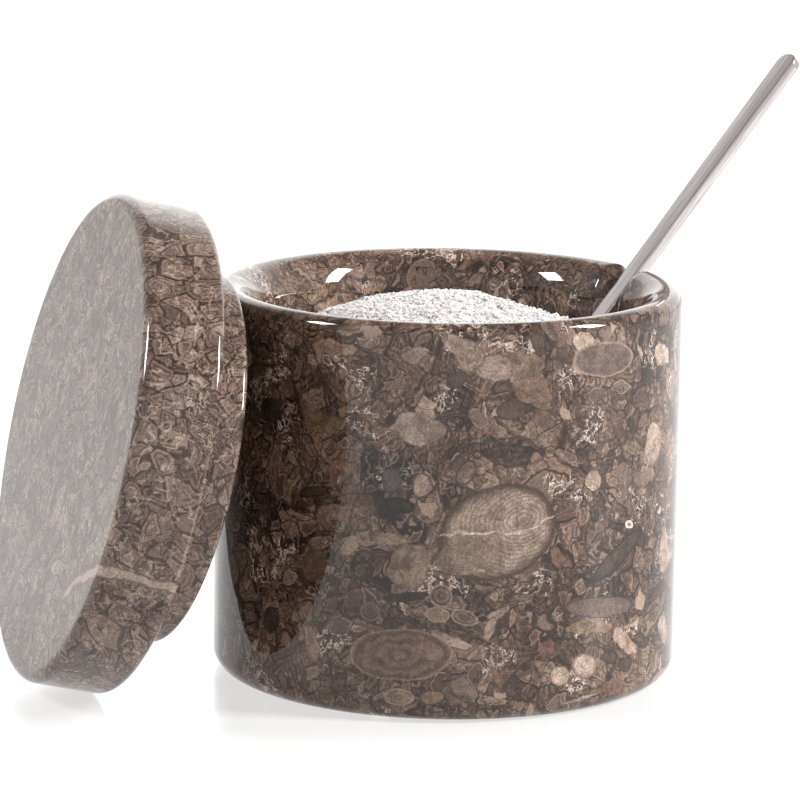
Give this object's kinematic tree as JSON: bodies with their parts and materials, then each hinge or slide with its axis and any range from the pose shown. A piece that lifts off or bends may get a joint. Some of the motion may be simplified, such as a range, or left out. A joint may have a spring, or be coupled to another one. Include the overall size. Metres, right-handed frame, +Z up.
{
  "type": "salt cellar",
  "caption": "Turned stone salt pot with a spoon slot in its rim, a plugged stone lid leaning on it, a heap of salt and a small steel spoon.",
  "frame": {"origin": "centre of the pot's flat base, on the surface that the pot and the lid stand on", "axes": "+Z up along the pot's axis, +X to the right and +Y away from the front view; the lid leans on the -X side, the spoon points to +X and +Y"},
  "size_m": [0.1761, 0.1238, 0.1293],
  "materials": {
    "pot_stone": "polished",
    "lid_stone": "polished",
    "spoon_steel": "polished",
    "salt": "matte"
  },
  "bodies": {
    "pot": {"pot": "pot_stone", "salt": "salt"},
    "lid": {"lid": "lid_stone"},
    "spoon": {"spoon": "spoon_steel"}
  },
  "joints": [
    {"name": "lid_lift", "type": "slide", "parent": "pot", "child": "lid", "axis": [0, 0, 1], "range_m": [0, 0.12]},
    {"name": "spoon_lift", "type": "slide", "parent": "pot", "child": "spoon", "axis": [0, 0, 1], "range_m": [0, 0.09]}
  ]
}
